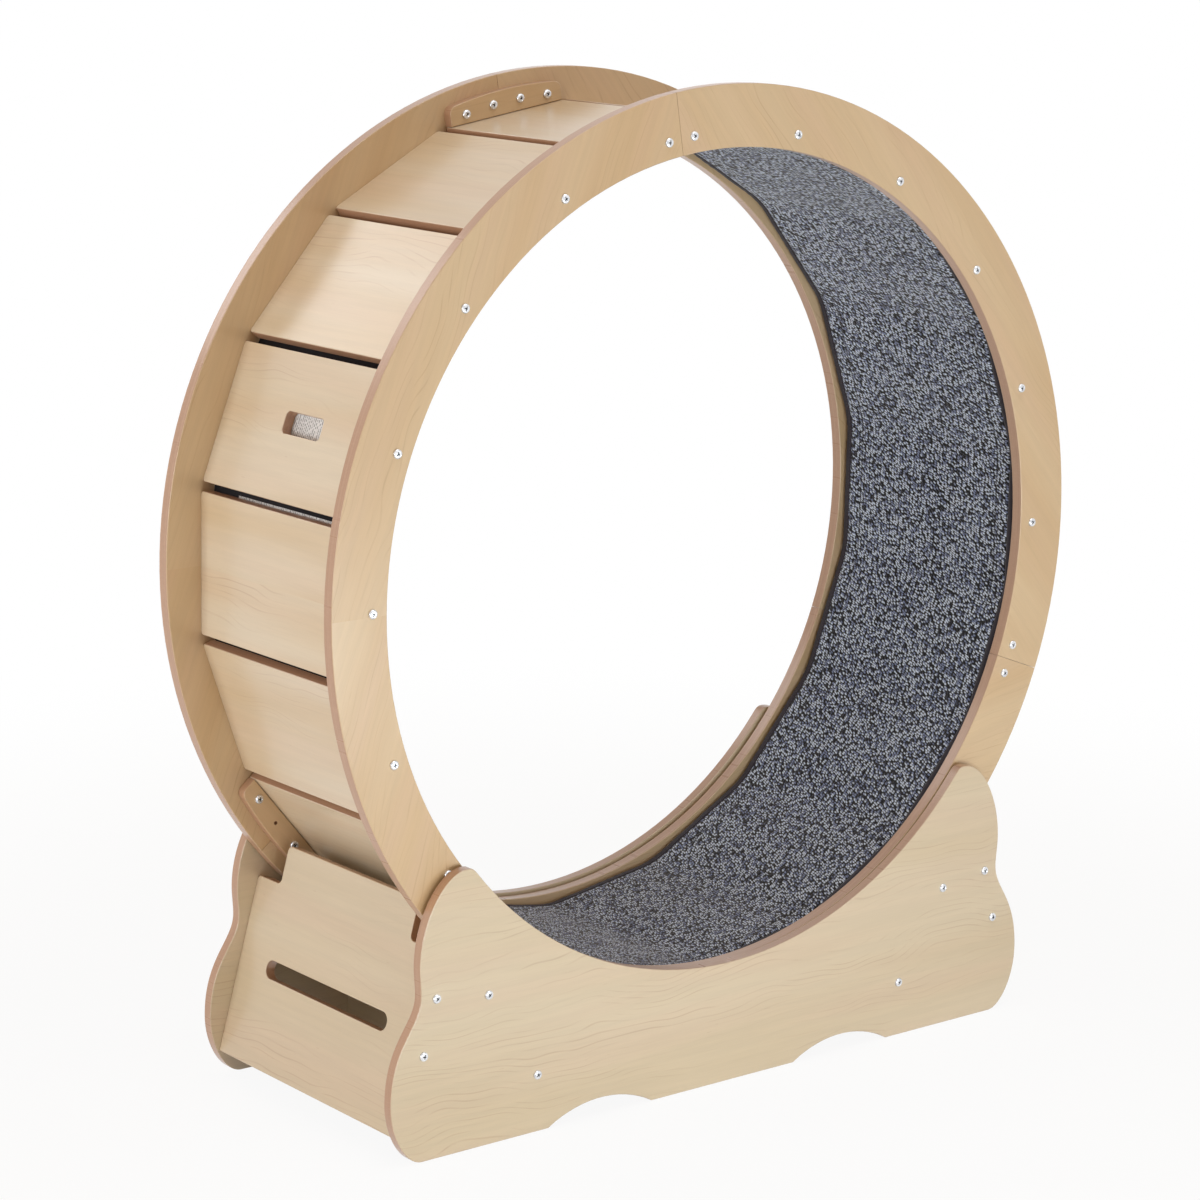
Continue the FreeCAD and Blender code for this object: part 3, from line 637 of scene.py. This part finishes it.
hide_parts("running_mat")

# ---------------------------------------------------------------- binding tape
# Black woven tape, folded over each long edge of the mat and sewn down through it with one row of
# stitches. It puckers a little where the mat bends.
binding_reach = 0.0090          # from the tape's outer fold to its edge on the pile
binding_outer = 0.1400


def tape_profile(side):
    """The folded tape's section: over the pile, round the edge, under the backing and back."""
    over = [(binding_reach + 0.0004, 0.0053), (binding_reach - 0.0006, 0.0066),
            (0.0062, 0.0073), (0.0030, 0.0072), (0.0010, 0.0063), (0.0002, 0.0046),
            (0.0002, 0.0012), (0.0012, 0.0001), (0.0080, 0.0001)]
    under = [(0.0080, 0.0003), (0.0014, 0.0004), (0.0011, 0.0014), (0.0011, 0.0044),
             (0.0018, 0.0056), (0.0034, 0.0063), (0.0062, 0.0064),
             (binding_reach - 0.0004, 0.0058)]
    puckers_above = 0.004

    def at(length):
        pucker = (0.00022 * math.sin(length * 520) * math.sin(length * 37)
                  + 0.00015 * math.sin(length * 140))
        profile = []
        girth = 0.0
        last = None
        for inset, height in over + under:
            if last:
                girth += math.dist(last, (inset, height))
            last = (inset, height)
            raised = height + (pucker if height > puckers_above else 0.0)
            profile.append((side * (binding_outer - inset), raised, girth))
        return profile
    return at


def tape_weave_group():
    """Ribbed weave of a narrow tape, with one row of stitches near its inner edge."""
    group, given, result = new_group(
        "Tape weave", [("Weave", VECTOR), ("Cloth", COLOUR), ("Thread", COLOUR)],
        [("Colour", COLOUR), ("Height", FLOAT)])
    rib_pitch = 0.0011
    cord_pitch = 0.0009
    stitch_row = 0.0030         # from the tape's edge on the pile, along its girth
    stitch_pitch = 0.0042
    place = parts(group, given["Weave"])
    ribs = maths(group, "SINE", maths(group, "MULTIPLY", place[0], 2 * math.pi / rib_pitch))
    cords = maths(group, "SINE", maths(group, "MULTIPLY", place[1], 2 * math.pi / cord_pitch))
    woven = maths(group, "MULTIPLY_ADD", maths(group, "MULTIPLY", ribs, cords), 0.5, 0.5)
    row = maths(group, "ABSOLUTE", maths(group, "SUBTRACT", place[1], stitch_row))
    in_row = ramp(group, row, 0.0003, 0.0006, 1.0, 0.0)
    within = maths(group, "FRACT", maths(group, "MULTIPLY", place[0], 1 / stitch_pitch))
    step = maths(group, "ABSOLUTE", maths(group, "SUBTRACT", within, 0.5))
    stitch = maths(group, "MULTIPLY", in_row, ramp(group, step, 0.30, 0.38, 1.0, 0.0))
    # painted light and shade on the weave: rib tops drawn lighter than the cloth, hollows darker
    cloth = shaded(group, given["Cloth"], ramp(group, woven, 0.0, 1.0, 0.75, 1.15))
    group.links.new(blend(group, stitch, cloth, given["Thread"]), result.inputs["Colour"])
    group.links.new(maths(group, "ADD", woven, maths(group, "MULTIPLY", stitch, 1.5)),
                    result.inputs["Height"])
    return group


tape_weave = tape_weave_group()
tape_material, tree = blank_material("binding tape")
cloth = put_group(tree, tape_weave, {
    "Weave": weave_place(tree), "Cloth": paint(44, 38, 46), "Thread": paint(64, 58, 66)})
surface(tree, {
    "Base Color": cloth["Colour"], "Roughness": 0.7, "Sheen Weight": 0.15,
    "Specular IOR Level": 0.3, "Normal": bumped(tree, cloth["Height"], 0.5, 0.0003)})
for side_name, side in (("front", -1), ("back", 1)):
    tape = swept_strip("%s_tape" % side_name, mat_rows, tape_profile(side))
    tape.data.materials.append(tape_material)
    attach(tape, "wheel")
    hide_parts("%s_mat_binding" % side_name)

# ---------------------------------------------------------------- closure tapes
# Two white hook-and-loop tapes behind the mat's two ends. The upper shows in the window of slat 9,
# the lower peeps out along the gap above slat 10.
tape_back_end = 0.092           # both tapes stop short of the mat's back edge
tape_front_end = -0.1365
tape_height = 0.0009
tape_unevenness = 0.0001
tape_columns = 60
tape_clearance = 0.0001         # off the slats' inner faces


def lining_between(first_turn, last_turn):
    """The slats' lining from one angle round the axle to another, both ends exact."""
    turns = [math.degrees(math.atan2(point.z - axle.z, point.x - axle.x)) % 360
             for _, point, _, _ in stations]
    rows = []
    for count in range(len(stations) - 1):
        run, point, out = stations[count][:3]
        next_run, next_point, next_out = stations[count + 1][:3]
        for end_turn in (first_turn, last_turn):
            if turns[count] < end_turn <= turns[count + 1]:
                share = (end_turn - turns[count]) / (turns[count + 1] - turns[count])
                rows.append((run + (next_run - run) * share, point.lerp(next_point, share),
                             out.lerp(next_out, share)))
        if first_turn < turns[count + 1] < last_turn:
            rows.append((next_run, next_point, next_out))
    return [(run, point + out * (backing_gap - tape_clearance), out) for run, point, out in rows]


def closure_profile(length):
    across_places = [tape_back_end + (tape_front_end - tape_back_end) * step / tape_columns
                     for step in range(tape_columns + 1)]
    top = [(across, tape_height - yarn.uniform(0.0, tape_unevenness), across)
           for across in across_places]
    return top + [(tape_front_end, 0.0, tape_front_end), (tape_back_end, 0.0, tape_back_end)]


def hook_and_loop_group():
    """Fuzzy white loops in close columns; the short gaps between them are drawn grey as painted
    shade.
    """
    group, given, result = new_group(
        "Loop tape", [("Weave", VECTOR), ("Nylon", COLOUR), ("Gap shade", COLOUR)],
        [("Colour", COLOUR), ("Height", FLOAT)])
    column_pitch = 0.0031
    place = parts(group, given["Weave"])
    column = maths(group, "SINE", maths(group, "MULTIPLY", place[1], 2 * math.pi / column_pitch))
    between = ramp(group, column, -0.3, 0.8)
    spot = stretched(group, (place[0], 420.0), (place[1], 300.0))
    tuft = noise(group, spot, 1.0, 2.0)
    # painted shade: grey where the gaps between loop columns fall
    gap = maths(group, "MULTIPLY", between, ramp(group, tuft, 0.40, 0.56))
    height = maths(group, "SUBTRACT", maths(group, "MULTIPLY", tuft, 0.4), gap)
    group.links.new(blend(group, gap, given["Nylon"], given["Gap shade"]), result.inputs["Colour"])
    group.links.new(height, result.inputs["Height"])
    return group


loop_tape = hook_and_loop_group()
closure_material, tree = blank_material("hook and loop")
nylon = put_group(tree, loop_tape, {
    "Weave": weave_place(tree), "Nylon": paint(246, 249, 252), "Gap shade": paint(124, 130, 136)})
surface(tree, {
    "Base Color": nylon["Colour"], "Roughness": 0.8, "Sheen Weight": 0.3,
    "Normal": bumped(tree, nylon["Height"], 0.6, 0.0004)})
for name, first_turn, last_turn in (("closure_tape_upper", 156.0, 168.9),
                                    ("closure_tape_lower", 169.75, 173.9)):
    rows = lining_between(first_turn, last_turn)
    closure = swept_strip(name, rows, closure_profile)
    closure.data.materials.append(closure_material)
    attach(closure, "wheel")
    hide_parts("mat_closure_strip")

# ---------------------------------------------------------------- side panels
# The two waved boards of the base, 12 mm with a maple print, grain along the floor. Sawn outline
# with eased corners; screws from outside hold them to the end panels and the stretchers.


def base_place(tree):
    """A point of the base and the way it faces there, each as x, y and z."""
    spot = add_node(tree, "ShaderNodeTexCoord").outputs["Object"]
    return parts(tree, spot), own_facing(tree)


base_tones = (paint(217, 202, 176), paint(212, 195, 166), paint(218, 194, 170))
panel_material, tree = blank_material("side panel board")
place, facing = base_place(tree)
board = maths(tree, "SIGN", place[1])
board_finish(tree, place[0], place[2], board, place[1], facing[1], base_tones)
dress(["front_side_panel", "back_side_panel"], panel_material)

# ---------------------------------------------------------------- end panels
# Leaning boards at both ends of the base, with a hand slot and two shelves that the rings pass
# over. Grain along the board, between the side panels.
end_lean = math.radians(15.1)
end_material, tree = blank_material("end panel board")
place, facing = base_place(tree)
hand = maths(tree, "SIGN", place[0])
sideways = maths(tree, "MULTIPLY", facing[0], hand)
outward = maths(tree, "ADD", maths(tree, "MULTIPLY", sideways, math.cos(end_lean)),
                maths(tree, "MULTIPLY", facing[2], math.sin(end_lean)))
board = maths(tree, "MULTIPLY", hand, 1.3)
board_finish(tree, place[1], place[2], board, place[0], outward, base_tones)
dress(["left_end_panel", "right_end_panel"], end_material)

# ---------------------------------------------------------------- stretchers and their dowels
# Two plain boards low in the base, each held by a screw and two beech dowels at both ends. The
# dowels keep a board from turning on its screws.
stretcher_material, tree = blank_material("stretcher board")
place, facing = base_place(tree)
board = maths(tree, "MULTIPLY", maths(tree, "SIGN", place[0]), 5.2)
board_finish(tree, place[1], place[2], board, place[0], facing[0], base_tones)
dress(["left_stretcher", "right_stretcher"], stretcher_material)
dowel_material, tree = blank_material("beech dowel")
place = base_place(tree)[0]
beech = put_group(tree, maple_print, {
    "Along": place[1], "Across": place[2], "Board": place[0], "Pale": paint(212, 178, 134),
    "Tan": paint(196, 156, 110), "Blush": paint(206, 166, 126), "Line": paint(160, 116, 76),
    "Line strength": 0.6})
surface(tree, {"Base Color": beech["Colour"], "Roughness": 0.7,
               "Normal": bumped(tree, beech["Height"], 0.4, 0.0002)})
dress(["stretcher_dowels"], dowel_material)

# ---------------------------------------------------------------- axles, bearings and sleeves
# Drawn steel bars across the base, with ground bearing races and balls, and plastic tube sleeves
# that keep the rollers in line with the rings.


def metal_group():
    """Bare or plated metal: fine lines one way and cloudy stains."""
    group, given, result = new_group(
        "Plated metal", [("Across scale", FLOAT), ("Bright", COLOUR), ("Dull", COLOUR)],
        [("Colour", COLOUR), ("Roughness", FLOAT), ("Height", FLOAT)])
    spot = add_node(group, "ShaderNodeTexCoord").outputs["Object"]
    place = parts(group, spot)
    drawn = stretched(group, (place[0], given["Across scale"]), (place[1], 60.0),
                      (place[2], given["Across scale"]))
    lines = noise(group, drawn, 1.0, 2.0)
    cloud = ramp(group, noise(group, spot, 260.0, 3.0), 0.35, 0.7)
    group.links.new(blend(group, cloud, given["Bright"], given["Dull"]), result.inputs["Colour"])
    group.links.new(ramp(group, lines, 0.3, 0.7, 0.16, 0.34), result.inputs["Roughness"])
    group.links.new(lines, result.inputs["Height"])
    return group


plated_metal = metal_group()


def metal_material(name, across_scale, bright, dull):
    material, tree = blank_material(name)
    skin = put_group(tree, plated_metal, {
        "Across scale": across_scale, "Bright": bright, "Dull": dull})
    surface(tree, {
        "Base Color": skin["Colour"], "Metallic": 1.0, "Roughness": skin["Roughness"],
        "Normal": bumped(tree, skin["Height"], 0.15, 0.0001)})
    return material


bar_material = metal_material("drawn bar", 2600, paint(196, 196, 198), paint(168, 168, 172))
dress(["left_axle", "right_axle"], bar_material)
race_material = metal_material("ground steel", 4200, paint(212, 212, 216), paint(188, 190, 196))
outer_races = ["%s_%s_outer_race" % (side, hand) for side in sides for hand in hands]
dress(["bearing_inner_races", "bearing_balls"] + outer_races, race_material)


def moulded_group():
    """Moulded or extruded plastic: faint flow marks and a fine orange-peel skin."""
    group, given, result = new_group("Moulded plastic", [("Body", COLOUR), ("Worn", COLOUR)],
                                     [("Colour", COLOUR), ("Height", FLOAT)])
    spot = add_node(group, "ShaderNodeTexCoord").outputs["Object"]
    flow = ramp(group, noise(group, spot, 90.0, 3.0), 0.35, 0.7)
    peel = noise(group, spot, 1400.0, 1.0)
    group.links.new(blend(group, flow, given["Body"], given["Worn"]), result.inputs["Colour"])
    group.links.new(peel, result.inputs["Height"])
    return group


moulded = moulded_group()


def plastic_material(name, body, worn, roughness):
    material, tree = blank_material(name)
    skin = put_group(tree, moulded, {"Body": body, "Worn": worn})
    surface(tree, {"Base Color": skin["Colour"], "Roughness": roughness,
                   "Normal": bumped(tree, skin["Height"], 0.2, 0.0001)})
    return material


dress(["axle_sleeves"], plastic_material("black tube", paint(44, 44, 46), paint(58, 58, 60), 0.5))

# ---------------------------------------------------------------- rollers
# Four grooved nylon rollers, moulded, off-white.
# Each has the outer race of its bearing pressed in.
dress(["%s_%s_roller" % (side, hand) for side in sides for hand in hands],
      plastic_material("nylon roller", paint(226, 223, 212), paint(208, 203, 190), 0.42))

# ---------------------------------------------------------------- screws
# Pan heads with a cross recess, bright zinc plate, all through the boards from outside or, at the
# splice plates, from inside the wheel. The recess is dull and dark: painted shade, drawn in dark
# grey.
head_round = 0.0021             # rounding of the head's rim
recess_end = 0.0020             # nothing deeper than this below the head's top is recess


def recess_group():
    """1 inside a pan head's cross recess, told by how far a face lies below the head's top."""
    group, given, result = new_group("Cross recess", [("Head top", FLOAT), ("Way out", FLOAT)],
                                     [("Recess", FLOAT)])
    spot = add_node(group, "ShaderNodeTexCoord").outputs["Object"]
    height = maths(group, "ABSOLUTE", parts(group, spot)[1])
    below = maths(group, "SUBTRACT", given["Head top"], height)
    below = maths(group, "MULTIPLY", below, given["Way out"])
    square = maths(group, "ABSOLUTE", own_facing(group)[1])
    on_round = maths(group, "MULTIPLY", maths(group, "SUBTRACT", 1.0, square), head_round)
    sunk = ramp(group, maths(group, "SUBTRACT", below, on_round), 0.0001, 0.0003)
    floor = maths(group, "MULTIPLY", sunk, ramp(group, square, 0.45, 0.55))
    in_head = ramp(group, below, 0.0018, recess_end, 1.0, 0.0)
    floor = maths(group, "MULTIPLY", floor, in_head)
    wall = maths(group, "MULTIPLY", ramp(group, square, 0.20, 0.30, 1.0, 0.0),
                 ramp(group, below, 0.0014, 0.0016, 1.0, 0.0))
    group.links.new(maths(group, "MAXIMUM", floor, wall), result.inputs["Recess"])
    return group


cross_recess = recess_group()


def screw_material(name, head_top, way_out):
    material, tree = blank_material(name)
    skin = put_group(tree, plated_metal, {
        "Across scale": 1800, "Bright": paint(236, 236, 238), "Dull": paint(208, 210, 215)})
    recess = put_group(tree, cross_recess, {"Head top": head_top, "Way out": way_out})["Recess"]
    # painted shade: the cross recess is drawn dark grey
    surface(tree, {
        "Base Color": blend(tree, recess, skin["Colour"], paint(52, 53, 58)), "Metallic": 1.0,
        "Roughness": skin["Roughness"], "Normal": bumped(tree, skin["Height"], 0.15, 0.0001)})
    return material


for screws in ("slat_screws", "panel_screws", "axle_screws"):
    head_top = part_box(screws)[1][1]
    dress([screws], screw_material("zinc " + screws.replace("_", " "), head_top, 1.0))
head_top = min(abs(corner.co.y) for corner in frame["nodes"]["splice_screws"].data.vertices)
dress(["splice_screws"], screw_material("zinc splice screws", head_top, -1.0))
